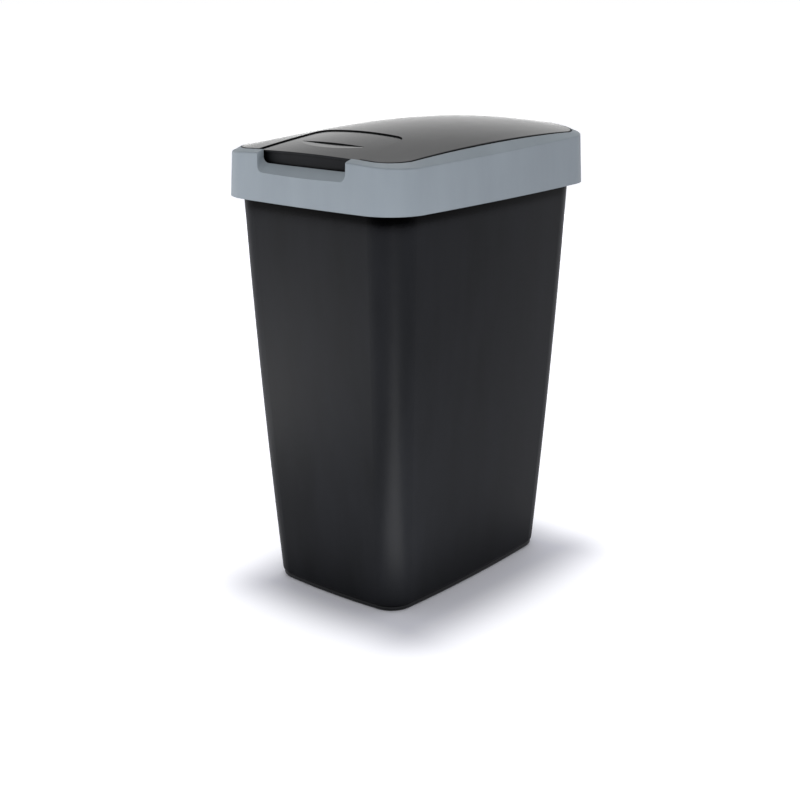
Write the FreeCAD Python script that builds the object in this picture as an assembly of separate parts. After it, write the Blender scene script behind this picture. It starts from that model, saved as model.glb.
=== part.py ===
import FreeCAD, Part
import math
import os

from FreeCAD import Vector

os.makedirs("parts", exist_ok=True)

# All sizes are in millimetres. The front of the bin is -Y, the floor is Z = 0,
# and the rim frame, which is the widest piece, is centred on X = Y = 0.

# Plan of the rim frame at its lower edge: a rectangle with bowed sides and round corners
rim_half_x = 131.0
rim_half_y = 180.4
rim_corner = 45.0
side_bow = 5.3
rim_bottom_z = 440.0
rim_draft = 2.5
rim_wall = 2.2
shoulder_round = 2.0
lip_round = 0.8

# Top edge of the rim frame's outer wall: it climbs to the rear and is crowned at front and rear
wall_height = 49.0
wall_climb = 4.08
wall_crown = 6.6

# Dome of the lid: an arch along Y at the lid's edges, plus a crown across X that fades to the ends.
# The arch's fall and the crown's fade are over half the rim's length from their highest points,
# which lie behind the middle by these shares of that half length.
dome_height = 60.1
dome_arch_fall = 9.14
dome_arch_share = 0.167
dome_crown = 15.4
dome_crown_fade = 6.48
dome_crown_share = 0.316

# Lid seat in the rim frame
seat_inset = 12.4
seat_depth = 5.0
seat_width = 8.4
seat_relief = 0.4
throat_height = 8.0
lid_gap = 0.8
lid_rear_gap = 1.7
lid_rest_gap = 0.3
lid_skin = 2.2
lid_skirt_wall = 2.2
lid_round = 1.0

# Bucket
body_shift_y = -1.8
base_half_x = 94.9
base_half_y = 140.2
base_corner = 28.8
body_gap_under_rim = 12.5
body_rim_corner = 38.0
body_bulge = 1.6
body_wall = 2.0
body_top_height = 18.0
floor_thickness = 2.5
foot_height = 3.2
foot_inset = 5.0
foot_width = 5.0
base_round = 7.0
flange_gap = 0.6
flange_thickness = 2.2
flange_lip = 8.0
frame_rest_gap = 0.2

# Finger notch at the front of the rim frame
notch_half_x = 61.2
notch_front_height = 28.2
notch_rise = 10.8
notch_corner = 7.0
notch_run_in = 20.0
catch_drop = 7.0

# Press panel in the front of the lid
panel_reach = 100.4
panel_rear_half_x = 58.5
panel_front_half_x = 71.5
panel_corner = 14.0
panel_gap = 0.6
panel_recess = 1.3
panel_skin = 2.2
panel_round = 0.5
panel_skirt_setback = 1.4
panel_skirt_wall = 2.2
panel_skirt_half_x = 66.0
hook_half_spacing = 34.0
hook_width = 16.0
hook_engagement = 1.1
hook_height = 4.5
hook_gap = 0.3
hook_edge = 1.2
dimple_half_x = 42.5
dimple_reach = 53.4
dimple_length = 20.0
dimple_depth = 1.3

# Tray of the lid under the press panel
tray_wall = 2.0
tray_depth = 12.0
tray_floor = 2.0
tray_setback = 23.4
stop_lug_half_spacing = 50.0
stop_lug_width = 8.0
stop_lug_height = 2.6
stop_lug_overlap = 3.0
stop_gap = 0.3

# Pins of the press panel
panel_axis_inset = 8.0
panel_axis_drop = 7.6
panel_pin_radius = 1.5
panel_pin_length = 12.6
panel_ear_radius = 2.8
panel_ear_width = 4.5
panel_ear_gap = 3.8
pin_running_gap = 0.06

# Springs under the press panel
panel_spring_x = 30.0
panel_spring_reach = 42.4
panel_spring_radius = 3.2
panel_spring_wire = 0.8
panel_spring_turns = 3.5
spring_seat_radius = 4.6
spring_seat_height = 1.6
spring_end_gap = 0.25

# Hinge of the lid
hinge_back = 25.0
hinge_drop = 7.4
hinge_pin_radius = 2.0
hinge_pin_head_radius = 3.2
hinge_pin_head = 1.4
hinge_ear_inner_x = 30.0
hinge_ear_width = 3.0
hinge_ear_radius = 4.0
hinge_side_gap = 0.5
knuckle_width = 8.0
knuckle_radius = 4.0
knuckle_front = 14.0
knuckle_heel = 12.0
lug_arm_low = 18.0
lug_arm_height = 15.0
lug_web_back = 0.6
lug_web_front = 2.5
lug_web_gap = 2.0
swing_clearance = 1.2
swing_front = 12.0

# Torsion springs on the hinge pins
hinge_spring_wire = 1.4
hinge_spring_radius = 3.5
hinge_spring_turns = 3.75
hinge_spring_pitch = 1.9
hinge_spring_leg = 13.0
spring_foot_gap = 0.3

# Ribs by which the rim frame rests on the bucket's flange
rib_thickness = 2.0
side_rib_count = 4
side_rib_inset = 75.4
rear_rib_inset = 47.0
front_rib_inset = 45.0

# Sizes that follow from the ones above
front_y = -rim_half_y
throat_z = rim_bottom_z + throat_height
body_top_z = rim_bottom_z + body_top_height
notch_front_z = rim_bottom_z + notch_front_height
notch_back_z = notch_front_z + notch_rise
above_all = rim_bottom_z + 2 * dome_height
body_rim_half_x = rim_half_x - body_gap_under_rim
body_rim_half_y = rim_half_y - body_gap_under_rim
lid_inset = seat_inset + lid_gap
lid_rear_trim = lid_rear_gap - lid_gap
lid_rear_y = rim_half_y - seat_inset - lid_rear_gap
dome_half_x = rim_half_x - lid_inset
panel_rear_y = front_y + panel_reach
panel_axis_y = panel_rear_y - panel_axis_inset
panel_spring_y = front_y + panel_spring_reach
panel_skirt_inset = lid_inset + panel_skirt_setback
dimple_rear_y = front_y + dimple_reach
tray_front_y = front_y + tray_setback
hook_top_z = notch_back_z - catch_drop - hook_gap
lug_arm_low_z = rim_bottom_z + lug_arm_low
lug_arm_top_z = lug_arm_low_z + lug_arm_height
hinge_axis_y = lid_rear_y - hinge_back
knuckle_inner_x = hinge_ear_inner_x + hinge_ear_width + hinge_side_gap
knuckle_outer_x = knuckle_inner_x + knuckle_width
hinge_spring_inner_x = knuckle_outer_x + hinge_side_gap
hinge_spring_room = hinge_spring_turns * hinge_spring_pitch + 2 * hinge_spring_wire
hinge_ear_outer_x = hinge_spring_inner_x + hinge_spring_room + hinge_ear_width
rear_rib_half_x = rim_half_x - rear_rib_inset
front_rib_half_x = rim_half_x - front_rib_inset


def dome(x, y):
    """Height of the lid's outer surface, which the lid seat, tray and panel all follow."""
    along = y / rim_half_y
    edge = rim_bottom_z + dome_height - dome_arch_fall * (along - dome_arch_share) ** 2
    crown = dome_crown - dome_crown_fade * (along - dome_crown_share) ** 2
    return edge + crown * (1 - (x / dome_half_x) ** 2)


def wall_top(x, y):
    """Height of the rim frame's outer wall."""
    climb = wall_climb * y / rim_half_y
    crown = wall_crown * (1 - (x / rim_half_x) ** 2)
    return rim_bottom_z + wall_height + climb + crown


hinge_axis_z = dome(0, lid_rear_y) - hinge_drop
panel_axis_z = dome(panel_rear_half_x, panel_axis_y) - panel_axis_drop


def outline(half_x, half_y, corner, inset=0.0, shift_y=0.0):
    """Plan of eight tangent arcs: long bowed sides and ends with a round corner between them.

    Each arc is centre x, centre y, radius, start angle and end angle, anticlockwise from the right side.
    """
    side_radius = ((half_y - side_bow) ** 2 + side_bow ** 2) / (2 * side_bow)
    end_radius = ((half_x - side_bow) ** 2 + side_bow ** 2) / (2 * side_bow)
    side_x = half_x - side_radius
    end_y = half_y - end_radius
    reach_side = side_radius - corner
    reach_end = end_radius - corner
    span = math.hypot(side_x, end_y)
    along = (reach_side ** 2 - reach_end ** 2 + span ** 2) / (2 * span)
    across = math.sqrt(reach_side ** 2 - along ** 2)
    toward_x = -side_x / span
    toward_y = end_y / span
    corner_x = side_x + along * toward_x - across * toward_y
    corner_y = along * toward_y + across * toward_x
    alpha = math.atan2(corner_y, corner_x - side_x)
    beta = math.atan2(corner_y - end_y, corner_x)
    turn = math.pi
    arcs = [
        (side_x, 0.0, side_radius, -alpha, alpha),
        (corner_x, corner_y, corner, alpha, beta),
        (0.0, end_y, end_radius, beta, turn - beta),
        (-corner_x, corner_y, corner, turn - beta, turn - alpha),
        (-side_x, 0.0, side_radius, turn - alpha, turn + alpha),
        (-corner_x, -corner_y, corner, turn + alpha, turn + beta),
        (0.0, -end_y, end_radius, turn + beta, 2 * turn - beta),
        (corner_x, -corner_y, corner, 2 * turn - beta, 2 * turn - alpha),
    ]
    return [(x, y + shift_y, radius - inset, start, end) for x, y, radius, start, end in arcs]


def rim_outline(inset=0.0):
    return outline(rim_half_x, rim_half_y, rim_corner, inset)


def lid_outline(inset=0.0):
    """The seat's plan less the lid gap, with the rear edge drawn in by its wider gap."""
    trim = lid_rear_trim / 2
    return outline(rim_half_x, rim_half_y - trim, rim_corner, lid_inset + inset, -trim)


def body_outline(z, inset=0.0):
    """Plan of the bucket's outer wall at height z, tapered and a little barrelled."""
    share = z / rim_bottom_z
    bulge = 4 * body_bulge * share * (1 - share)
    half_x = base_half_x + (body_rim_half_x - base_half_x) * share + bulge
    half_y = base_half_y + (body_rim_half_y - base_half_y) * share + bulge
    corner = base_corner + (body_rim_corner - base_corner) * share
    return outline(half_x, half_y, corner, inset, body_shift_y)


def point_on(arc, angle, z):
    x, y, radius, start, end = arc
    return Vector(x + radius * math.cos(angle), y + radius * math.sin(angle), z)


def wire_at(arcs, z):
    """Closed flat wire of a plan at height z."""
    edges = []
    for arc in arcs:
        start, end = arc[3], arc[4]
        points = [point_on(arc, angle, z) for angle in (start, (start + end) / 2, end)]
        edges.append(Part.Arc(*points).toShape())
    return Part.Wire(edges)


def prism(arcs, low, high):
    return Part.Face(wire_at(arcs, low)).extrude(Vector(0, 0, high - low))


def lifted_edges(arcs, height, samples=7):
    """The eight edges of a plan carried up to the surface height(x, y)."""
    edges = []
    for arc in arcs:
        start, end = arc[3], arc[4]
        points = []
        for step in range(samples):
            point = point_on(arc, start + (end - start) * step / (samples - 1), 0)
            point.z = height(point.x, point.y)
            points.append(point)
        tangents = []
        for angle, sign in ((start, 1), (end, -1)):
            little = sign * (end - start) * 1e-4
            here = point_on(arc, angle, 0)
            there = point_on(arc, angle + little, 0)
            here.z = height(here.x, here.y)
            there.z = height(there.x, there.y)
            tangents.append((there - here) * sign)
        curve = Part.BSplineCurve()
        curve.interpolate(Points=points, InitialTangent=tangents[0], FinalTangent=tangents[1])
        edges.append(curve.toShape())
    return edges


def ring(section):
    """Solid of a closed section carried round the rim's plan.

    The section is a list of inset and height, where the height is a function of x and y.
    """
    rows = [lifted_edges(rim_outline(inset), height) for inset, height in section]
    faces = []
    for row, following in zip(rows, rows[1:] + rows[:1]):
        for edge, partner in zip(row, following):
            faces.append(Part.makeRuledSurface(edge, partner))
    shell = Part.makeShell(faces)
    shell.sewShape()
    return forward(Part.makeSolid(shell))


def forward(solid):
    if solid.Volume < 0:
        solid.reverse()
    return solid


def level(z):
    return lambda x, y: z


def lowered(height, drop):
    return lambda x, y: height(x, y) - drop


def dome_slab(drop, thickness):
    """Slab of the dome's form, whose top lies drop under the lid's surface."""
    reach_x = rim_half_x
    reach_y = rim_half_y
    surface = Part.BezierSurface()
    surface.increase(2, 2)

    def poles(low, middle, high):
        return low, 2 * middle - (low + high) / 2, high

    rows = []
    for y in (-reach_y, 0.0, reach_y):
        rows.append(poles(dome(-reach_x, y), dome(0, y), dome(reach_x, y)))
    for column in range(3):
        heights = poles(rows[0][column], rows[1][column], rows[2][column])
        for row in range(3):
            x = (column - 1) * reach_x
            y = (row - 1) * reach_y
            surface.setPole(column + 1, row + 1, Vector(x, y, heights[row] - drop))
    return surface.toShape().extrude(Vector(0, 0, -thickness))


def box(x, y, z):
    """Box between the low and high values of x, y and z."""
    size = (x[1] - x[0], y[1] - y[0], z[1] - z[0])
    return Part.makeBox(size[0], size[1], size[2], Vector(x[0], y[0], z[0]))


def rod(radius, x, y, z):
    """Cylinder along X between the two values of x."""
    return Part.makeCylinder(radius, x[1] - x[0], Vector(x[0], y, z), Vector(1, 0, 0))


def side_plate(profile, x):
    """Plate between two values of x, from a profile of y and z."""
    points = [Vector(x[0], y, z) for y, z in profile]
    face = Part.Face(Part.makePolygon(points + points[:1]))
    return face.extrude(Vector(x[1] - x[0], 0, 0))


def mirrored(shape):
    return shape.mirror(Vector(0, 0, 0), Vector(1, 0, 0))


def both_sides(shape):
    return [shape, mirrored(shape)]


def joined(shapes):
    return shapes[0].multiFuse(shapes[1:]).removeSplitter()


def edges_on(shape, height, slack=0.05):
    """Edges of a shape that lie on the surface height(x, y)."""
    found = []
    for edge in shape.Edges:
        first, last = edge.FirstParameter, edge.LastParameter
        points = [edge.valueAt(first + (last - first) * share) for share in (0.1, 0.5, 0.9)]
        if all(abs(point.z - height(point.x, point.y)) < slack for point in points):
            found.append(edge)
    return found


def tapered(inset, low):
    """Solid of the bucket's tapered form from the height low to its top, with a rounded bottom edge."""
    levels = (low, (low + body_top_z) / 2, body_top_z)
    solid = Part.makeLoft([wire_at(body_outline(z, inset), z) for z in levels], True)
    bottom = [edge for edge in solid.Edges if edge.BoundBox.ZMax < low + base_round / 2]
    return solid.makeFillet(base_round, bottom)


def make_body():
    """Tapered bucket with a rounded base, a foot ring and a turned-over flange that fills the rim's plan."""
    foot = prism(body_outline(0, foot_inset), 0, foot_height)
    foot = foot.cut(prism(body_outline(0, foot_inset + foot_width), 0, foot_height - 1))

    flange_z = body_top_z - flange_thickness
    lip_z = flange_z - flange_lip
    flange_inset = rim_draft + rim_wall + flange_gap
    flange = prism(rim_outline(flange_inset), flange_z, body_top_z)
    lip = prism(rim_outline(flange_inset), lip_z, flange_z)
    lip = lip.cut(prism(rim_outline(flange_inset + body_wall), lip_z, flange_z))

    body = joined([tapered(0, foot_height), foot, flange, lip])
    return body.cut(tapered(body_wall, foot_height + floor_thickness))


def frame_section():
    """Section of the rim frame: outer wall, shoulder, lid seat and throat, all one wall thick."""
    throat = seat_inset + seat_width
    inner_foot = seat_inset - rim_wall

    def under_shoulder(x, y):
        share = (inner_foot - rim_draft) / (seat_inset - rim_draft)
        return wall_top(x, y) + (dome(x, y) - wall_top(x, y)) * share - 1.2 * rim_wall

    return [
        (0.0, level(rim_bottom_z)),
        (rim_draft, wall_top),
        (seat_inset, dome),
        (seat_inset, lowered(dome, seat_depth)),
        (throat, lowered(dome, seat_depth)),
        (throat, level(throat_z)),
        (throat - rim_wall, level(throat_z)),
        (throat - rim_wall, lowered(dome, seat_depth + rim_wall)),
        (inner_foot, lowered(dome, seat_depth + rim_wall)),
        (inner_foot, under_shoulder),
        (rim_draft + rim_wall, lowered(wall_top, rim_wall)),
        (rim_wall, level(rim_bottom_z)),
    ]


def frame_filling():
    """The space inside the frame's outer wall and shoulder, with its faces within their thickness."""
    skin = rim_wall / 3
    return ring([
        (skin, level(rim_bottom_z)),
        (rim_draft + skin, lowered(wall_top, skin)),
        (seat_inset - skin, lowered(dome, 1.5 * skin)),
        (seat_inset - skin, level(rim_bottom_z)),
    ])


def notch_channel(margin, low):
    """Channel that runs up and back from the front face, with round lower corners."""
    half = notch_half_x + margin
    corner = notch_corner + margin
    slope = notch_rise / seat_inset
    start = front_y - notch_run_in
    bottom = notch_front_z - notch_run_in * slope - low
    top = above_all
    profile = [
        Part.makeLine(Vector(-half, start, top), Vector(-half, start, bottom + corner)),
        Part.Arc(
            Vector(-half, start, bottom + corner),
            Vector(-half + corner * (1 - math.sqrt(0.5)), start, bottom + corner * (1 - math.sqrt(0.5))),
            Vector(-half + corner, start, bottom),
        ).toShape(),
        Part.makeLine(Vector(-half + corner, start, bottom), Vector(half - corner, start, bottom)),
        Part.Arc(
            Vector(half - corner, start, bottom),
            Vector(half - corner * (1 - math.sqrt(0.5)), start, bottom + corner * (1 - math.sqrt(0.5))),
            Vector(half, start, bottom + corner),
        ).toShape(),
        Part.makeLine(Vector(half, start, bottom + corner), Vector(half, start, top)),
        Part.makeLine(Vector(half, start, top), Vector(-half, start, top)),
    ]
    depth = notch_run_in + seat_inset + rim_wall
    return Part.Face(Part.Wire(profile)).extrude(Vector(0, depth, depth * slope))


def hinge_lug(side_x):
    """Goose-neck lug of the frame: two ears on an arm, with a cross web that stops the open lid."""
    arm_back = rim_half_y - seat_inset - seat_width + rim_wall / 2
    front = hinge_axis_y - hinge_ear_radius
    back = hinge_axis_y + hinge_ear_radius
    profile = [
        (arm_back, lug_arm_low_z),
        (front, lug_arm_low_z),
        (front, hinge_axis_z),
        (back, hinge_axis_z),
        (back, lug_arm_top_z),
        (arm_back, lug_arm_top_z),
    ]
    pieces = []
    for low in (hinge_ear_inner_x, hinge_ear_outer_x - hinge_ear_width):
        span = (low, low + hinge_ear_width)
        pieces.append(side_plate(profile, span))
        pieces.append(rod(hinge_ear_radius, span, hinge_axis_y, hinge_axis_z))
    web_top = hinge_axis_z - knuckle_radius - lug_web_gap
    web_y = (hinge_axis_y - lug_web_front, hinge_axis_y + lug_web_back)
    pieces.append(box((hinge_ear_inner_x, hinge_ear_outer_x), web_y, (lug_arm_low_z, web_top)))
    lug = joined(pieces)
    return lug if side_x > 0 else mirrored(lug)


def swing_room():
    """Room round the hinge axis for the lid's rear edge and corners, which dip and swing forward."""
    rise = dome(0, lid_rear_y) - hinge_axis_z
    radius = math.hypot(hinge_back, rise) + swing_clearance
    room = rod(radius, (-rim_half_x, rim_half_x), hinge_axis_y, hinge_axis_z)
    behind_y = (hinge_axis_y - swing_front, rim_half_y)
    room = room.common(box((-rim_half_x, rim_half_x), behind_y, (throat_z - 5, above_all)))
    return room.common(prism(rim_outline(seat_inset - seat_relief), throat_z - 5, above_all))


def frame_ribs():
    """Ribs under the shoulder and seat that rest on the bucket's flange."""
    throat = seat_inset + seat_width - rim_wall / 2
    space = ring([
        (rim_wall / 2, level(rim_bottom_z)),
        (rim_draft + rim_wall / 2, lowered(wall_top, rim_wall / 2)),
        (seat_inset - rim_wall / 2, lowered(dome, rim_wall)),
        (seat_inset - rim_wall / 2, lowered(dome, seat_depth + rim_wall / 2)),
        (throat, lowered(dome, seat_depth + rim_wall / 2)),
        (throat, level(rim_bottom_z)),
    ])
    low = body_top_z + frame_rest_gap
    heights = (low, above_all)
    half = rib_thickness / 2
    plates = []
    reach = rim_half_y - side_rib_inset
    for number in range(side_rib_count):
        y = reach * (2 * number / (side_rib_count - 1) - 1)
        plates += both_sides(box((0, rim_half_x), (y - half, y + half), heights))
    rear = (rear_rib_half_x - half, rear_rib_half_x + half)
    plates += both_sides(box(rear, (0, rim_half_y), heights))
    front = (front_rib_half_x - half, front_rib_half_x + half)
    plates += both_sides(box(front, (front_y, 0), heights))
    return [space.common(plate) for plate in plates]


def make_frame():
    """Grey collar with the shoulder, lid seat, finger notch, latch catch and hinge lugs."""
    collar = ring(frame_section())
    collar = collar.makeFillet(shoulder_round, edges_on(collar, wall_top))
    collar = collar.makeFillet(lip_round, edges_on(collar, dome))
    frame = joined([collar] + frame_ribs())
    frame = frame.cut(swing_room())

    # Open the seat and throat behind the notch for the press panel's skirt and hooks
    opening_half_x = panel_front_half_x + panel_gap + tray_wall + 2
    opening_x = (-opening_half_x, opening_half_x)
    front_room = box(opening_x, (front_y, tray_front_y + 5), (throat_z - 5, above_all))
    front_room = front_room.common(prism(rim_outline(seat_inset - seat_relief), throat_z - 5, above_all))
    frame = frame.cut(front_room)

    # Scoop floor and cheeks, then the notch itself
    scoop = frame_filling().common(notch_channel(rim_wall, 1.3 * rim_wall))
    catch = ring([
        (seat_inset, level(notch_back_z)),
        (seat_inset, level(notch_back_z - catch_drop)),
        (seat_inset - rim_wall, level(notch_back_z - catch_drop)),
        (seat_inset - rim_wall, level(notch_back_z)),
    ])
    half = notch_half_x + rim_wall
    catch = catch.common(box((-half, half), (front_y, 0), (throat_z, notch_back_z)))
    frame = joined([frame, scoop, catch])
    frame = frame.cut(notch_channel(0, 0))

    frame = joined([frame, hinge_lug(1), hinge_lug(-1)])
    for side in (1, -1):
        span = (hinge_ear_inner_x - 5, hinge_ear_outer_x + 5)
        hole = rod(hinge_pin_radius, span, hinge_axis_y, hinge_axis_z)
        frame = frame.cut(hole if side > 0 else mirrored(hole))
    return frame


def panel_plan(margin):
    """Plan of the press panel, grown by margin: it flares to the front and has round rear corners."""
    run = panel_rear_y + rim_half_y
    flare = (panel_front_half_x - panel_rear_half_x) / run
    rear_y = panel_rear_y + margin
    rear = panel_rear_half_x + margin - flare * margin
    past_front_y = front_y - seat_inset
    front = rear + flare * (rear_y - past_front_y)
    corner = panel_corner + margin
    lean = math.atan(flare)
    trim = corner * math.tan((math.pi / 2 - lean) / 2)
    side = Vector(math.sin(lean), -math.cos(lean), 0)
    right = Vector(rear, rear_y, 0)
    on_rear = right + Vector(-trim, 0, 0)
    on_side = right + side * trim
    centre = on_rear + Vector(0, -corner, 0)
    outward = (right - centre).normalize()
    middle = centre + outward * corner

    def other(point):
        return Vector(-point.x, point.y, point.z)

    front_right = Vector(front, past_front_y, 0)
    return Part.Wire([
        Part.makeLine(front_right, on_side),
        Part.Arc(on_side, middle, on_rear).toShape(),
        Part.makeLine(on_rear, other(on_rear)),
        Part.Arc(other(on_rear), other(middle), other(on_side)).toShape(),
        Part.makeLine(other(on_side), other(front_right)),
        Part.makeLine(other(front_right), front_right),
    ])


def panel_prism(margin):
    face = Part.Face(panel_plan(margin))
    face.translate(Vector(0, 0, rim_bottom_z))
    return face.extrude(Vector(0, 0, above_all - rim_bottom_z))


def panel_half_x(y):
    """Half width of the press panel at y, ahead of its rear corners."""
    share = (panel_rear_y - y) / (panel_rear_y + rim_half_y)
    return panel_rear_half_x + (panel_front_half_x - panel_rear_half_x) * share


def knuckle(side_x):
    """Knuckle of the lid between the frame's ears, with its heel and the spring's foot."""
    span = (knuckle_inner_x, knuckle_outer_x)
    skin_z = dome(span[0], hinge_axis_y)
    rib_y = (hinge_axis_y - knuckle_front, hinge_axis_y + knuckle_heel)
    rib = box(span, rib_y, (hinge_axis_z, skin_z + 5))
    foot_low = hinge_axis_z - hinge_spring_radius + hinge_spring_wire / 2 + spring_foot_gap
    foot_x = (span[1] - 1, hinge_ear_outer_x - hinge_ear_width - hinge_side_gap)
    foot_y = (hinge_axis_y - knuckle_front, hinge_axis_y - knuckle_front + 4)
    foot = box(foot_x, foot_y, (foot_low, skin_z + 5))
    foot_link = box(span, foot_y, (foot_low, skin_z + 5))
    pieces = [rib, foot, foot_link]
    below = dome_slab(lid_skin / 2, 60)
    pieces = [piece.common(below) for piece in pieces]
    pieces.append(rod(knuckle_radius, span, hinge_axis_y, hinge_axis_z))
    piece = joined(pieces)
    hole = rod(hinge_pin_radius + pin_running_gap, span, hinge_axis_y, hinge_axis_z)
    piece = piece.cut(hole)
    return piece if side_x > 0 else mirrored(piece)


def spring_seat_z():
    """Flat top of the spring seats on the tray's floor, just above the floor's highest point there."""
    x = panel_spring_x - spring_seat_radius
    y = panel_spring_y + spring_seat_radius
    return dome(x, y) - tray_depth + 0.2


def spring_cap_z():
    """Flat underside of the spring seats on the press panel, just under its lowest point there."""
    x = panel_spring_x + spring_seat_radius
    y = panel_spring_y - spring_seat_radius
    return dome(x, y) - panel_recess - panel_skin - 0.2


def upright(radius, x, y, low, high):
    return Part.makeCylinder(radius, high - low, Vector(x, y, low))


def panel_pin_span():
    """Ends of the press panel's pin in x: from inside the panel's ear to outside the tray's wall."""
    outer = panel_half_x(panel_axis_y) + panel_gap + 2 * tray_wall
    return (outer - panel_pin_length, outer)


def make_lid():
    """Domed lid with its edge skirt, the tray under the press panel and the hinge knuckles."""
    plan = prism(lid_outline(), throat_z, above_all)
    cap = plan.common(dome_slab(0, seat_depth - lid_rest_gap))
    cap = cap.makeFillet(lid_round, edges_on(cap, dome))
    hollow = prism(lid_outline(lid_skirt_wall), throat_z, above_all).common(dome_slab(lid_skin, seat_depth))
    cap = cap.cut(hollow)
    tray_height = tray_depth + tray_floor - lid_skin / 2
    tray = panel_prism(panel_gap + tray_wall).common(dome_slab(lid_skin / 2, tray_height)).common(plan)
    lid = joined([cap, tray])

    # Bosses for the panel's pins on the outside of the tray's walls
    span = panel_pin_span()
    boss = rod(panel_ear_radius, (span[1] - 2 * tray_wall, span[1]), panel_axis_y, panel_axis_z)
    lid = joined([lid] + both_sides(boss))

    # Well of the tray, open at the front, and the holes for the pins
    well = panel_prism(panel_gap).common(dome_slab(-20, tray_depth + 20))
    lid = lid.cut(well)
    half = panel_front_half_x + panel_gap + tray_wall + 10
    front = box((-half, half), (front_y, tray_front_y), (throat_z, above_all))
    lid = lid.cut(front.common(panel_prism(panel_gap)))
    hole = rod(panel_pin_radius, (span[0] - 5, span[1] + 5), panel_axis_y, panel_axis_z)
    lid = lid.cut(hole).cut(mirrored(hole))

    seat_z = spring_seat_z()
    seat = upright(spring_seat_radius, panel_spring_x, panel_spring_y, seat_z - tray_floor, seat_z)
    seat = seat.cut(dome_slab(tray_depth + tray_floor / 2, tray_depth))
    spigot_radius = panel_spring_radius - panel_spring_wire
    spigot_top = seat_z + spring_seat_height
    spigot = upright(spigot_radius, panel_spring_x, panel_spring_y, seat_z - 1, spigot_top)
    pieces = [lid, knuckle(1), knuckle(-1)] + both_sides(seat) + both_sides(spigot)
    return joined(pieces)


def make_panel():
    """Press panel with thumb dimple, front skirt, latch hooks, stop lugs and pivot ears."""
    plan = prism(lid_outline(), throat_z, above_all)
    skin = panel_prism(0).common(dome_slab(panel_recess, panel_skin)).common(plan)
    skin = skin.makeFillet(panel_round, edges_on(skin, lowered(dome, panel_recess)))

    # Front skirt, which carries the hooks and the stop lugs
    skirt_inside = prism(rim_outline(panel_skirt_inset + panel_skirt_wall), throat_z, above_all)
    skirt = prism(rim_outline(panel_skirt_inset), throat_z, above_all).cut(skirt_inside)
    skirt_low = hook_top_z - hook_height
    half = panel_skirt_half_x
    skirt = skirt.common(box((-half, half), (front_y, tray_front_y), (skirt_low, above_all)))
    skirt = skirt.common(dome_slab(panel_recess + panel_skin / 2, 60))

    # Each hook's nose is level on top and slopes below, so that it rides over the catch
    nose_front = front_y + seat_inset - hook_engagement
    nose_back = front_y + panel_skirt_inset + panel_skirt_wall / 2
    nose_profile = [
        (nose_front, hook_top_z),
        (nose_back, hook_top_z),
        (nose_back, skirt_low),
        (nose_front, hook_top_z - hook_edge),
    ]
    nose_x = (hook_half_spacing - hook_width / 2, hook_half_spacing + hook_width / 2)
    nose = side_plate(nose_profile, nose_x)

    # Stop lugs reach back under the front edge of the tray's floor
    lug_x = (stop_lug_half_spacing - stop_lug_width / 2, stop_lug_half_spacing + stop_lug_width / 2)
    lug_top = dome(lug_x[1], tray_front_y) - tray_depth - tray_floor - stop_gap
    lug_y = (front_y + panel_skirt_inset + panel_skirt_wall / 2 + 1, tray_front_y + stop_lug_overlap)
    lug = box(lug_x, lug_y, (lug_top - stop_lug_height, lug_top))

    # Ears on the pins beside the tray's walls
    ear_high = panel_half_x(panel_axis_y) + panel_gap - panel_ear_gap
    ear_x = (ear_high - panel_ear_width, ear_high)
    ear = rod(panel_ear_radius, ear_x, panel_axis_y, panel_axis_z)
    web_y = (panel_axis_y - panel_ear_radius, panel_axis_y + panel_ear_radius)
    web = box(ear_x, web_y, (panel_axis_z, above_all))
    web = web.common(dome_slab(panel_recess + panel_skin / 2, 60))
    cap = upright(spring_seat_radius, panel_spring_x, panel_spring_y, spring_cap_z(), spring_cap_z() + 6)
    cap = cap.common(dome_slab(panel_recess + panel_skin / 2, 60))

    pieces = [skin, skirt]
    for piece in (nose, lug, ear, web, cap):
        pieces += both_sides(piece)
    panel = joined(pieces)
    hole_x = (ear_x[0] - 2, ear_x[1] + 2)
    hole = rod(panel_pin_radius + pin_running_gap, hole_x, panel_axis_y, panel_axis_z)
    panel = panel.cut(hole).cut(mirrored(hole))

    # Thumb dimple: deepest at its rear edge, running out to the surface at the front
    rear_z = dome(0, dimple_rear_y) - panel_recess - dimple_depth
    end_y = dimple_rear_y - dimple_length
    end_z = dome(0, end_y) - panel_recess + 0.3
    profile = [(dimple_rear_y, rear_z), (dimple_rear_y, above_all), (end_y, above_all), (end_y, end_z)]
    return panel.cut(side_plate(profile, (-dimple_half_x, dimple_half_x)))


def make_hinge_pin():
    span = (hinge_ear_inner_x - 0.5, hinge_ear_outer_x + 0.5)
    pin = rod(hinge_pin_radius, span, hinge_axis_y, hinge_axis_z)
    head_span = (hinge_ear_outer_x, hinge_ear_outer_x + hinge_pin_head)
    head = rod(hinge_pin_head_radius, head_span, hinge_axis_y, hinge_axis_z)
    return joined([pin, head])


def make_panel_pin():
    return rod(panel_pin_radius, panel_pin_span(), panel_axis_y, panel_axis_z)


def arc_from(start, tangent, end):
    """Arc that leaves start along tangent and ends at end."""
    chord = end - start
    along = Vector(chord).normalize()
    lean = tangent - along * tangent.dot(along)
    angle = tangent.getAngle(chord)
    middle = (start + end) * 0.5 + lean.normalize() * (chord.Length / 2 * math.tan(angle / 2))
    return Part.Arc(start, middle, end).toShape()


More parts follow.
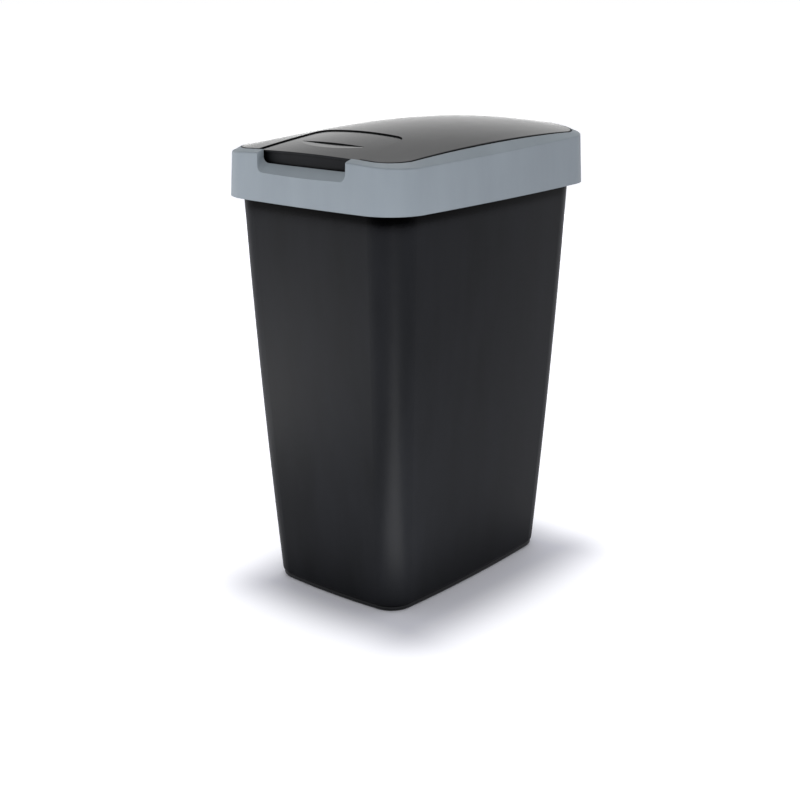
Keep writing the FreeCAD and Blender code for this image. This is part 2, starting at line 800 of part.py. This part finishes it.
def biarc(start, start_tangent, end, end_tangent):
    """Two tangent arcs that join two points with their tangents."""
    gap = end - start
    total = start_tangent + end_tangent
    share = 2 * (1 - start_tangent.dot(end_tangent))
    reach = (-gap.dot(total) + math.sqrt(gap.dot(total) ** 2 + share * gap.dot(gap))) / share
    joint = (start + end + (start_tangent - end_tangent) * reach) * 0.5
    joint_tangent = (end - start - (start_tangent + end_tangent) * reach).normalize()
    return [arc_from(start, start_tangent, joint), arc_from(joint, joint_tangent, end)]


def coil(radius, wire, pitch, turns, start_angle, way, leg):
    """Wound wire along +Z about the origin, in quarter-turn biarcs, with two straight legs."""
    rise = pitch / (2 * math.pi)
    length = math.hypot(radius, rise)

    def at(angle):
        turned = start_angle + way * angle
        return Vector(radius * math.cos(turned), radius * math.sin(turned), rise * angle)

    def along(angle):
        turned = start_angle + way * angle
        run = way * radius / length
        return Vector(-run * math.sin(turned), run * math.cos(turned), rise / length)

    quarter = math.pi / 2
    edges = []
    if leg:
        edges.append(Part.makeLine(at(0) - along(0) * leg, at(0)))
    for step in range(round(turns * 4)):
        low = step * quarter
        edges += biarc(at(low), along(low), at(low + quarter), along(low + quarter))
    last = round(turns * 4) * quarter
    if leg:
        edges.append(Part.makeLine(at(last), at(last) + along(last) * leg))
    path = Part.Wire(edges)
    first = at(0) - along(0) * leg
    circle = Part.Wire(Part.makeCircle(wire / 2, first, along(0)))
    spring = path.makePipeShell([circle], True, False)
    print("least gap between turns:", round(pitch * radius / length - wire, 3))
    return spring


def make_hinge_spring():
    """Torsion spring: one leg down in front of the lug's web, one forward under the lid's foot."""
    spring = coil(
        hinge_spring_radius,
        hinge_spring_wire,
        hinge_spring_pitch,
        hinge_spring_turns,
        math.pi,
        -1,
        hinge_spring_leg,
    )
    # A third of a turn about the space diagonal lays the coil's axis along X
    spring.rotate(Vector(0, 0, 0), Vector(1, 1, 1), 120)
    spring.translate(Vector(hinge_spring_inner_x + hinge_spring_wire, hinge_axis_y, hinge_axis_z))
    return spring


def make_panel_spring():
    """Compression spring between the tray's seat and the press panel's seat."""
    room = spring_cap_z() - spring_seat_z() - 2 * spring_end_gap
    pitch = (room - panel_spring_wire) / panel_spring_turns
    spring = coil(panel_spring_radius, panel_spring_wire, pitch, panel_spring_turns, 0, 1, 0)
    low = spring_seat_z() + spring_end_gap + panel_spring_wire / 2
    spring.translate(Vector(panel_spring_x, panel_spring_y, low))
    return spring


def save(name, shape):
    state = "valid" if shape.isValid() else "NOT VALID"
    print(name, state, len(shape.Solids), "solids", round(shape.Volume / 1000, 2), "cm3")
    shape.exportStep("parts/" + name + ".step")


save("bin_body", make_body())
save("rim_frame", make_frame())
save("lid", make_lid())
save("press_panel", make_panel())
for name, shape in (
    ("hinge_pin", make_hinge_pin()),
    ("hinge_spring", make_hinge_spring()),
    ("panel_pin", make_panel_pin()),
    ("panel_spring", make_panel_spring()),
):
    save(name + "_right", shape)
    save(name + "_left", mirrored(shape))
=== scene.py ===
import math

import bpy
import numpy as np
from mathutils import Matrix, Vector


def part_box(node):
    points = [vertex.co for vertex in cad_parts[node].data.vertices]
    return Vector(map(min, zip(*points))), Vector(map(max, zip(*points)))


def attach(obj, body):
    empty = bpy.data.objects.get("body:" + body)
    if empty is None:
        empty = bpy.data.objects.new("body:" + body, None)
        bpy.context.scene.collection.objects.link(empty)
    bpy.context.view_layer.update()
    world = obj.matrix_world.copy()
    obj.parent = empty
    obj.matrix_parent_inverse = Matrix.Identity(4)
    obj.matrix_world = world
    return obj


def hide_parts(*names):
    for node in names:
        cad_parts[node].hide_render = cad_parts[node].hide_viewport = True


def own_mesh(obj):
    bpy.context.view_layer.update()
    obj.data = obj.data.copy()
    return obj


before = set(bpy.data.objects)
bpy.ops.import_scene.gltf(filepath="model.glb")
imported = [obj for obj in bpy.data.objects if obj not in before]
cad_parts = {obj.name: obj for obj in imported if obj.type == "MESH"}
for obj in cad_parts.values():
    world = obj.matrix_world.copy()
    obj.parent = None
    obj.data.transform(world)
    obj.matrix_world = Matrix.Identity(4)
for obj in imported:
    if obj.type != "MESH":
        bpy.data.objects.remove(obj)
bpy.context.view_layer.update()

# All sizes are in metres. The front of the bin is -Y and the floor is Z = 0.
MM = 0.001
FULL_TURN = 2 * math.pi

# The photograph's camera: its place, the way it points, and its lens on a 36 mm sensor
CAMERA_AT = (0.99018, -1.20417, 0.67167)
CAMERA_AZIMUTH = 39.47
CAMERA_ELEVATION = 15.15
CAMERA_LENS = 63.57
CAMERA_SENSOR = 36.0
CAMERA_SHIFT = (-0.0132, -0.0588)
CAMERA_NEAR = 0.05
CAMERA_FAR = 50.0

# Colours as they look, in sRGB
BODY_BLACK = "#151618"
BODY_BLACK_PALE = "#1c1d20"
LID_BLACK = "#17181a"
LID_BLACK_PALE = "#1f2023"
RIM_GREY = "#868f96"
RIM_GREY_PALE = "#8e979e"
PIN_STEEL = "#b9bbbd"
SPRING_STEEL = "#8f9193"
PAPER_WHITE = "#eeeffa"
LIGHT_WHITE = "#ffffff"

# Moulded plastic: the width of the resin's flow streaks, which are drawn out up the walls, how much rougher they
# are, the height of the mould's grain, how dark the painted shade in the deepest seam is, and how far up a face
# looks where it starts to be polished and fully reflecting like a top and where it is so throughout
STREAK_WIDTH = 45 * MM
STREAK_DRAW = (1.0, 1.0, 0.25)
STREAK_ROUGHNESS = 0.03
GRAIN_HEIGHT = 0.05 * MM
PAINTED_SEAM_SHADE = 0.03
TOP_STARTS = 0.75
TOP_WHOLE = 0.93

# Drawn steel: the die's lines are drawn out along X, and their depth
LINE_DRAW = (0.05, 1.0, 1.0)
LINE_DEPTH = 0.02 * MM

# Both textures' bump strength, and the part of a noise's range in which most of it lies
BUMP_STRENGTH = 0.3
NOISE_LOW = 0.3
NOISE_HIGH = 0.7

# The plan of the bucket's base: half its width and depth, its corner's radius, the bow of its sides, and its middle
BASE_HALF_X = 94.9 * MM
BASE_HALF_Y = 140.2 * MM
BASE_CORNER = 28.8 * MM
SIDE_BOW = 5.3 * MM
BASE_MIDDLE_Y = -1.8 * MM

# The foot bead's section: how far in from the wall its middle lies, half its width and height, and its lift
BEAD_INSET = 4.0 * MM
BEAD_HALF_WIDTH = 3.2 * MM
BEAD_HALF_HEIGHT = 3.4 * MM
BEAD_LIFT = 0.05 * MM
BEAD_STEPS = 480
BEAD_SIDES = 16

# The panel springs' coil, and how finely it is drawn
COIL_RADIUS = 3.2 * MM
WIRE_RADIUS = 0.4 * MM
COIL_TURNS = 3.5
COIL_X = 30 * MM
COIL_RINGS = 127
COIL_SIDES = 14

# The pale room round the object, where 1 is white: its walls, its ceiling, and the heights between which one
# turns into the other
WALL_LEVEL = 1.0
CEILING_LEVEL = 0.35
WALL_TOP = 0.15
CEILING_EDGE = 0.65

# What the floor lacks of white, near the bin's foot and away from it, and the reach over which it changes. Half
# the width and depth of the foot, round which the paper's glow is held back as a painted shadow, and that
# painted shadow's shift
FLOOR_FILL_NEAR = 0.05
FLOOR_FILL_FAR = 0.62
PAINTED_SHADOW_STARTS = -0.02
PAINTED_SHADOW_ENDS = 0.10
FOOT_HALF = (0.095, 0.140, 0.0)
PAINTED_SHADOW_SHIFT = (0.025, -0.012, 0.0)

# The point that the lamps in the air look at, and how far off the floor the panels on it lie
MIDDLE = (0.0, 0.0, 0.27)
PANEL_LIFT = 4 * MM


def linear(hex_colour):
    """sRGB hex to a linear RGBA tuple, by the standard's two-part curve."""
    channels = [int(hex_colour[i:i + 2], 16) / 255 for i in (1, 3, 5)]
    curve = [c / 12.92 if c <= 0.04045 else ((c + 0.055) / 1.055) ** 2.4 for c in channels]
    return (*curve, 1.0)


def add_node(tree, kind, settings=None, inputs=None):
    """One node with its settings, whose inputs are values or the output sockets that feed them."""
    node = tree.nodes.new(kind)
    for name, value in (settings or {}).items():
        setattr(node, name, value)
    for name, value in (inputs or {}).items():
        socket = node.inputs[name]
        if isinstance(value, bpy.types.NodeSocket):
            tree.links.new(value, socket)
        else:
            socket.default_value = value
    return node


def new_material(name):
    """Empty node material and its tree."""
    material = bpy.data.materials.new(name)
    material.use_nodes = True
    material.node_tree.nodes.clear()
    return material, material.node_tree


def new_piece(name, points, faces, material, smooth=True):
    """Mesh object at the origin from arrays of points and faces."""
    mesh = bpy.data.meshes.new(name)
    mesh.from_pydata(points.reshape(-1, 3).tolist(), [], faces)
    mesh.polygons.foreach_set("use_smooth", np.full(len(faces), smooth))
    mesh.materials.append(material)
    piece = bpy.data.objects.new(name, mesh)
    bpy.context.collection.objects.link(piece)
    return piece


def moulded_plastic(name, base, pale, top_roughness, side_roughness, side_gloss, ior, grain_mm,
                    seam_mm, lean, dark, clear):
    """Injection-moulded polypropylene, which has the grain of the spark-eroded mould it was pressed in.

    The grain breaks highlights into a satin sheen, coarser on the sides than on a polished top. The resin's
    flow leaves faint cloudy streaks up the walls, a little paler and rougher. Seams and the strip under an
    edge are darkened with painted shade, in both the colour and the reflection: a spot is darkest where the
    share of open air within seam_mm of it is dark or less, and plain where it is clear or more. Faces that
    neither face up nor down also have their reflection dimmed to side_gloss, a painted shade. Real grain is
    about 0.1 mm wide, and here it is drawn as coarse as it needs to be to show.
    """
    material, tree = new_material(name)
    place = add_node(tree, "ShaderNodeTexCoord").outputs
    flow = add_node(tree, "ShaderNodeMapping", inputs={"Vector": place["Object"], "Scale": STREAK_DRAW})
    clouds = add_node(tree, "ShaderNodeTexNoise", inputs={
        "Vector": flow.outputs["Vector"], "Scale": 1 / STREAK_WIDTH, "Detail": 4.0, "Roughness": 0.55,
    }).outputs["Fac"]
    grain = add_node(tree, "ShaderNodeTexNoise", inputs={
        "Vector": place["Object"], "Scale": 1 / (grain_mm * MM), "Detail": 2.0, "Roughness": 0.6,
    }).outputs["Fac"]
    tint = add_node(tree, "ShaderNodeValToRGB", inputs={"Fac": clouds})
    low, high = tint.color_ramp.elements
    low.position, low.color = NOISE_LOW, linear(base)
    high.position, high.color = NOISE_HIGH, linear(pale)
    # Painted shade from what stands over the surface: lean turns the look-round up from the surface's own facing
    facing = add_node(tree, "ShaderNodeNewGeometry").outputs["Normal"]
    upward = add_node(tree, "ShaderNodeVectorMath", {"operation": "ADD"}, {0: facing, 1: (0.0, 0.0, lean)})
    look = add_node(tree, "ShaderNodeVectorMath", {"operation": "NORMALIZE"}, {0: upward.outputs["Vector"]})
    open_air = add_node(tree, "ShaderNodeAmbientOcclusion", {"samples": 8}, {
        "Distance": seam_mm * MM, "Normal": look.outputs["Vector"],
    }).outputs["AO"]
    # Painted shade: colour and reflection are darkened where little open air lies near
    shade = add_node(tree, "ShaderNodeMapRange", inputs={
        "Value": open_air, "From Min": dark, "From Max": clear, "To Min": PAINTED_SEAM_SHADE, "To Max": 1.0,
    }).outputs["Result"]
    colour = add_node(tree, "ShaderNodeVectorMath", {"operation": "SCALE"}, {
        0: tint.outputs["Color"], "Scale": shade,
    })
    upright = add_node(tree, "ShaderNodeSeparateXYZ", inputs={"Vector": place["Normal"]}).outputs["Z"]
    level = add_node(tree, "ShaderNodeMath", {"operation": "ABSOLUTE"}, {0: upright}).outputs["Value"]
    smooth = add_node(tree, "ShaderNodeMapRange", inputs={
        "Value": level, "From Min": TOP_STARTS, "From Max": TOP_WHOLE,
        "To Min": side_roughness, "To Max": top_roughness,
    }).outputs["Result"]
    # Painted shade on sides and edges: faces that neither face up nor down reflect only side_gloss as much
    gloss = add_node(tree, "ShaderNodeMapRange", inputs={
        "Value": level, "From Min": TOP_STARTS, "From Max": TOP_WHOLE, "To Min": side_gloss, "To Max": 1.0,
    }).outputs["Result"]
    # The reflection's strength takes the side dimming and the same painted shade
    sheen = add_node(tree, "ShaderNodeMath", {"operation": "MULTIPLY"}, {0: gloss, 1: shade}).outputs["Value"]
    streaks = add_node(tree, "ShaderNodeMapRange", inputs={
        "Value": clouds, "From Min": NOISE_LOW, "From Max": NOISE_HIGH,
        "To Min": -STREAK_ROUGHNESS, "To Max": STREAK_ROUGHNESS,
    }).outputs["Result"]
    rough = add_node(tree, "ShaderNodeMath", {"operation": "ADD"}, {0: smooth, 1: streaks}).outputs["Value"]
    bump = add_node(tree, "ShaderNodeBump", inputs={
        "Height": grain, "Strength": BUMP_STRENGTH, "Distance": GRAIN_HEIGHT,
    }).outputs["Normal"]
    shader = add_node(tree, "ShaderNodeBsdfPrincipled", inputs={
        "Base Color": colour.outputs["Vector"], "Roughness": rough, "IOR": ior, "Normal": bump,
        "Specular Tint": sheen,
    })
    add_node(tree, "ShaderNodeOutputMaterial", inputs={"Surface": shader.outputs["BSDF"]})
    return material


def drawn_steel(name, colour, roughness, line_mm):
    """Drawn steel wire and rod: bright metal, with the fine lines that the die left along X, where the pins lie."""
    material, tree = new_material(name)
    place = add_node(tree, "ShaderNodeTexCoord").outputs["Object"]
    along = add_node(tree, "ShaderNodeMapping", inputs={"Vector": place, "Scale": LINE_DRAW}).outputs["Vector"]
    lines = add_node(tree, "ShaderNodeTexNoise", inputs={
        "Vector": along, "Scale": 1 / (line_mm * MM), "Detail": 2.0,
    }).outputs["Fac"]
    rough = add_node(tree, "ShaderNodeMapRange", inputs={
        "Value": lines, "From Min": NOISE_LOW, "From Max": NOISE_HIGH,
        "To Min": roughness - 0.06, "To Max": roughness + 0.08,
    }).outputs["Result"]
    bump = add_node(tree, "ShaderNodeBump", inputs={
        "Height": lines, "Strength": BUMP_STRENGTH, "Distance": LINE_DEPTH,
    }).outputs["Normal"]
    shader = add_node(tree, "ShaderNodeBsdfPrincipled", inputs={
        "Base Color": linear(colour), "Metallic": 1.0, "Roughness": rough, "Normal": bump,
    })
    add_node(tree, "ShaderNodeOutputMaterial", inputs={"Surface": shader.outputs["BSDF"]})
    return material


def dress(material, *names):
    """Gives CAD nodes this material in place of the one they came with."""
    for name in names:
        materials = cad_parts[name].data.materials
        materials.clear()
        materials.append(material)


# Satin black bucket: a broad soft sheen down the front and the front corner, and a band of painted shade under the
# rim
dress(moulded_plastic(
    "satin_black_polypropylene", BODY_BLACK, BODY_BLACK_PALE, top_roughness=0.42, side_roughness=0.42,
    side_gloss=1.0, ior=1.14, grain_mm=0.9, seam_mm=30, lean=1.0, dark=0.54, clear=0.68,
), "bin_body")
# The foot's bead is the same plastic from a smoother part of the mould, with painted shade only in the groove above
# it
foot_plastic = moulded_plastic(
    "smooth_black_polypropylene", BODY_BLACK, BODY_BLACK_PALE, top_roughness=0.34, side_roughness=0.34,
    side_gloss=1.0, ior=1.30, grain_mm=0.9, seam_mm=2, lean=0.0, dark=0.40, clear=0.75,
)
# Matt grey rim, which shows its form by its shades alone, with a thin line of painted shade in its seams
dress(moulded_plastic(
    "matt_cool_grey_polypropylene", RIM_GREY, RIM_GREY_PALE, top_roughness=0.50, side_roughness=0.50,
    side_gloss=1.0, ior=1.40, grain_mm=0.9, seam_mm=1.5, lean=0.0, dark=0.45, clear=0.92,
), "rim_frame")
# Polished black lid, which mirrors the room from pale at the rear to dark at the front, with edges whose reflection
# is dimmed by painted shade, and painted shade in its recesses
dress(moulded_plastic(
    "polished_black_polypropylene", LID_BLACK, LID_BLACK_PALE, top_roughness=0.14, side_roughness=0.50,
    side_gloss=0.1, ior=1.38, grain_mm=0.8, seam_mm=12, lean=0.0, dark=0.45, clear=0.92,
), "lid", "press_panel")
# Greyer wire for the springs, and brighter rod for the pins
spring_wire = drawn_steel("spring_steel_wire", SPRING_STEEL, roughness=0.34, line_mm=0.3)
dress(spring_wire, "hinge_spring_left", "hinge_spring_right")
dress(drawn_steel("bright_drawn_steel", PIN_STEEL, roughness=0.28, line_mm=0.4),
      "hinge_pin_left", "hinge_pin_right", "panel_pin_left", "panel_pin_right")


def foot_bead(name):
    """Bead moulded round the bucket's foot: an upright ellipse carried round the plan of the base.

    The plan is drawn by the way that it faces. In each quarter it is an arc of the bowed side, then one of the
    round corner, then one of the bowed end, tangent where they meet. A point is the centre of its arc, plus the
    arc's radius, less the inset, plus the ellipse's width times a cosine, along the facing, and its height is
    the ellipse's height times one plus a sine, above the lift.
    """
    side_radius = ((BASE_HALF_Y - SIDE_BOW) ** 2 + SIDE_BOW ** 2) / (2 * SIDE_BOW)
    end_radius = ((BASE_HALF_X - SIDE_BOW) ** 2 + SIDE_BOW ** 2) / (2 * SIDE_BOW)
    side_x, end_y = BASE_HALF_X - side_radius, BASE_HALF_Y - end_radius
    reach_side, reach_end = side_radius - BASE_CORNER, end_radius - BASE_CORNER
    span = math.hypot(side_x, end_y)
    along = (reach_side ** 2 - reach_end ** 2 + span ** 2) / (2 * span)
    across = math.sqrt(reach_side ** 2 - along ** 2)
    corner_x = side_x - (along * side_x + across * end_y) / span
    corner_y = (along * end_y - across * side_x) / span
    side_end = math.atan2(corner_y, corner_x - side_x)
    end_start = math.atan2(corner_y - end_y, corner_x)

    facing, around = np.meshgrid(np.arange(BEAD_STEPS) * FULL_TURN / BEAD_STEPS,
                                 np.arange(BEAD_SIDES) * FULL_TURN / BEAD_SIDES, indexing="ij")
    ahead, aside = np.cos(facing), np.sin(facing)
    fold = np.arctan2(np.abs(aside), np.abs(ahead))
    arcs = [fold < side_end, fold > end_start]
    radius = np.select(arcs, [side_radius, end_radius], BASE_CORNER) - BEAD_INSET + BEAD_HALF_WIDTH * np.cos(around)
    x = np.sign(ahead) * (np.select(arcs, [side_x, 0.0], corner_x) + radius * np.cos(fold))
    y = np.sign(aside) * (np.select(arcs, [0.0, end_y], corner_y) + radius * np.sin(fold)) + BASE_MIDDLE_Y
    z = BEAD_LIFT + BEAD_HALF_HEIGHT * (1 + np.sin(around))
    place = np.arange(facing.size).reshape(facing.shape)
    onward, upward = np.roll(place, -1, 0), np.roll(place, -1, 1)
    faces = np.stack([place, onward, np.roll(onward, -1, 1), upward], 2).reshape(-1, 4)
    return new_piece(name, np.stack([x, y, z], 2), faces.tolist(), foot_plastic)


bead = foot_bead("bin_body_foot_bead")
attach(bead, "bucket")


def coil_spring(name, side, centre_y, low_z, high_z):
    """Compression spring under the press panel: a circle of wire carried up a helix round a vertical axis.

    A point is the helix's point at that turn, plus the wire's radius towards the radial direction times the
    cosine of the angle round the wire, plus its radius across the wire times the sine. The left spring is
    the right one mirrored, and the order of the corners keeps the faces of both outwards.
    """
    turn, around = np.meshgrid(np.linspace(0, FULL_TURN * COIL_TURNS, COIL_RINGS),
                               np.arange(COIL_SIDES) * FULL_TURN / COIL_SIDES, indexing="ij")
    rise = (high_z - low_z - 2 * WIRE_RADIUS) / COIL_TURNS / FULL_TURN
    radial = np.stack([np.cos(turn), np.sin(turn), np.zeros_like(turn)], 2)
    along = np.stack([-COIL_RADIUS * np.sin(turn), COIL_RADIUS * np.cos(turn), np.full_like(turn, rise)], 2)
    across = np.cross(radial, along / np.linalg.norm(along, axis=2, keepdims=True))
    line = COIL_RADIUS * radial
    line[..., 2] += low_z + WIRE_RADIUS + rise * turn
    points = line + WIRE_RADIUS * (np.cos(around)[..., None] * radial + np.sin(around)[..., None] * across)
    points = points * [side, 1, 1] + [side * COIL_X, centre_y, 0]
    first = np.arange(COIL_RINGS - 1)[:, None] * COIL_SIDES
    here = np.arange(COIL_SIDES)
    after = np.roll(here, -1)
    onward = first + COIL_SIDES
    quads = np.stack([first + here, first + after, onward + after, onward + here], 2).reshape(-1, 4)
    ends = np.stack([here[::-1], (COIL_RINGS - 1) * COIL_SIDES + here])
    order = 1 if side < 0 else -1
    faces = quads[:, ::order].tolist() + ends[:, ::order].tolist()
    return new_piece(name, points, faces, spring_wire, smooth=np.arange(len(faces)) < len(quads))


for side, node in ((-1, "panel_spring_left"), (1, "panel_spring_right")):
    low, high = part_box(node)
    spring = coil_spring(node + "_coil", side, (low[1] + high[1]) / 2, low[2], high[2])
    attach(spring, "lid")
    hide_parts(node)
    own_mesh(spring)


def white_to_look_at(tree):
    """1 for rays that show the stage to the camera, in a reflection or through glass, and 0 for those that light."""
    path = add_node(tree, "ShaderNodeLightPath").outputs
    seen = add_node(tree, "ShaderNodeMath", {"operation": "MAXIMUM"}, {
        0: path["Is Camera Ray"], 1: path["Is Glossy Ray"],
    }).outputs["Value"]
    return add_node(tree, "ShaderNodeMath", {"operation": "MAXIMUM"}, {
        0: seen, 1: path["Is Transmission Ray"],
    }).outputs["Value"]


def studio_paper():
    """Matt white paper, which keeps the shadow and otherwise looks as white as the room.

    Its own glow is added to what it reflects, and grows with the distance from the bin's foot, which paints a shadow
    round the foot on top of the real one.
    """
    material, tree = new_material("white_studio_paper")
    paper = add_node(tree, "ShaderNodeBsdfDiffuse", inputs={"Color": linear(PAPER_WHITE)})
    vector = add_node(tree, "ShaderNodeTexCoord").outputs["Object"]
    for operation, other in (("SUBTRACT", PAINTED_SHADOW_SHIFT), ("ABSOLUTE", None), ("SUBTRACT", FOOT_HALF),
                             ("MAXIMUM", (0.0, 0.0, 0.0))):
        inputs = {0: vector} if other is None else {0: vector, 1: other}
        vector = add_node(tree, "ShaderNodeVectorMath", {"operation": operation}, inputs).outputs["Vector"]
    reach = add_node(tree, "ShaderNodeVectorMath", {"operation": "LENGTH"}, {0: vector}).outputs["Value"]
    # Painted shadow: the glow is held back round the foot, shifted a little
    fill = add_node(tree, "ShaderNodeMapRange", {"interpolation_type": "SMOOTHERSTEP"}, {
        "Value": reach, "From Min": PAINTED_SHADOW_STARTS, "From Max": PAINTED_SHADOW_ENDS,
        "To Min": FLOOR_FILL_NEAR, "To Max": FLOOR_FILL_FAR,
    }).outputs["Result"]
    strength = add_node(tree, "ShaderNodeMath", {"operation": "MULTIPLY"}, {0: white_to_look_at(tree), 1: fill})
    glow = add_node(tree, "ShaderNodeEmission", inputs={
        "Color": linear(LIGHT_WHITE), "Strength": strength.outputs["Value"],
    })
    both = add_node(tree, "ShaderNodeAddShader", inputs={0: paper.outputs["BSDF"], 1: glow.outputs["Emission"]})
    add_node(tree, "ShaderNodeOutputMaterial", inputs={"Surface": both.outputs["Shader"]})
    return material


def studio_floor(radius, rings, spokes):
    """Flat round floor: the grid of ring radius against angle, at the height of the bin's feet."""
    r, turn = np.meshgrid(np.linspace(0, radius, rings), np.linspace(0, FULL_TURN, spokes), indexing="ij")
    points = np.stack([r * np.cos(turn), r * np.sin(turn), np.zeros_like(r)], 2)
    corner = (np.arange(rings - 1)[:, None] * spokes + np.arange(spokes - 1)).reshape(-1, 1)
    faces = corner + np.array([0, spokes, spokes + 1, 1])
    return new_piece("studio_floor", points, faces.tolist(), studio_paper(), smooth=False)


def area_lamp(name, place, aim, width, length, power, turn=0.0):
    """Soft rectangular lamp at a place, looking at a point, and turned in degrees about that line."""
    lamp = bpy.data.lights.new(name, "AREA")
    lamp.shape, lamp.size, lamp.size_y, lamp.energy = "RECTANGLE", width, length, power
    facing = (Vector(place) - Vector(aim)).to_track_quat("Z", "Y").to_matrix().to_4x4()
    light = bpy.data.objects.new(name, lamp)
    light.matrix_world = Matrix.Translation(place) @ facing @ Matrix.Rotation(math.radians(turn), 4, "Z")
    light.visible_camera = False
    bpy.context.collection.objects.link(light)


studio_floor(30.0, 4, 97)
area_lamp("left_softbox", (-1.6, -1.45, 0.85), MIDDLE, width=1.0, length=0.9, power=0.5)
area_lamp("overhead_softbox", (-0.15, 0.20, 2.2), MIDDLE, width=1.4, length=1.4, power=15.5)
area_lamp("far_wall_wash", (-1.6, 1.95, 0.45), MIDDLE, width=2.0, length=0.5, power=10)
# The walls lean in towards the floor, so what they mirror is a panel that lies on it
area_lamp("front_floor_panel", (-0.68, -0.90, PANEL_LIFT), (-0.68, -0.90, 1.0),
          width=0.75, length=1.25, power=11.0, turn=40)
area_lamp("corner_floor_panel", (0.53, -0.42, PANEL_LIFT), (0.53, -0.42, 1.0),
          width=0.20, length=0.9, power=4.6, turn=-60)

world = bpy.data.worlds.new("pale_room")
bpy.context.scene.world = world
world.use_nodes = True
room = world.node_tree
room.nodes.clear()
height = add_node(room, "ShaderNodeSeparateXYZ", inputs={
    "Vector": add_node(room, "ShaderNodeTexCoord").outputs["Generated"],
}).outputs["Z"]
level = add_node(room, "ShaderNodeMapRange", {"interpolation_type": "SMOOTHSTEP"}, {
    "Value": height, "From Min": WALL_TOP, "From Max": CEILING_EDGE,
    "To Min": WALL_LEVEL, "To Max": CEILING_LEVEL,
})
sky = add_node(room, "ShaderNodeBackground", inputs={
    "Color": linear(LIGHT_WHITE), "Strength": level.outputs["Result"],
})
add_node(room, "ShaderNodeOutputWorld", inputs={"Surface": sky.outputs["Background"]})

lens = bpy.data.cameras.new("camera")
lens.sensor_width = CAMERA_SENSOR
lens.lens = CAMERA_LENS
lens.shift_x, lens.shift_y = CAMERA_SHIFT
lens.clip_start, lens.clip_end = CAMERA_NEAR, CAMERA_FAR
camera = bpy.data.objects.new("camera", lens)
camera.location = CAMERA_AT
camera.rotation_euler = (math.radians(90 - CAMERA_ELEVATION), 0.0, math.radians(CAMERA_AZIMUTH))
bpy.context.collection.objects.link(camera)
bpy.context.scene.camera = camera
bpy.context.scene.view_settings.view_transform = "Standard"
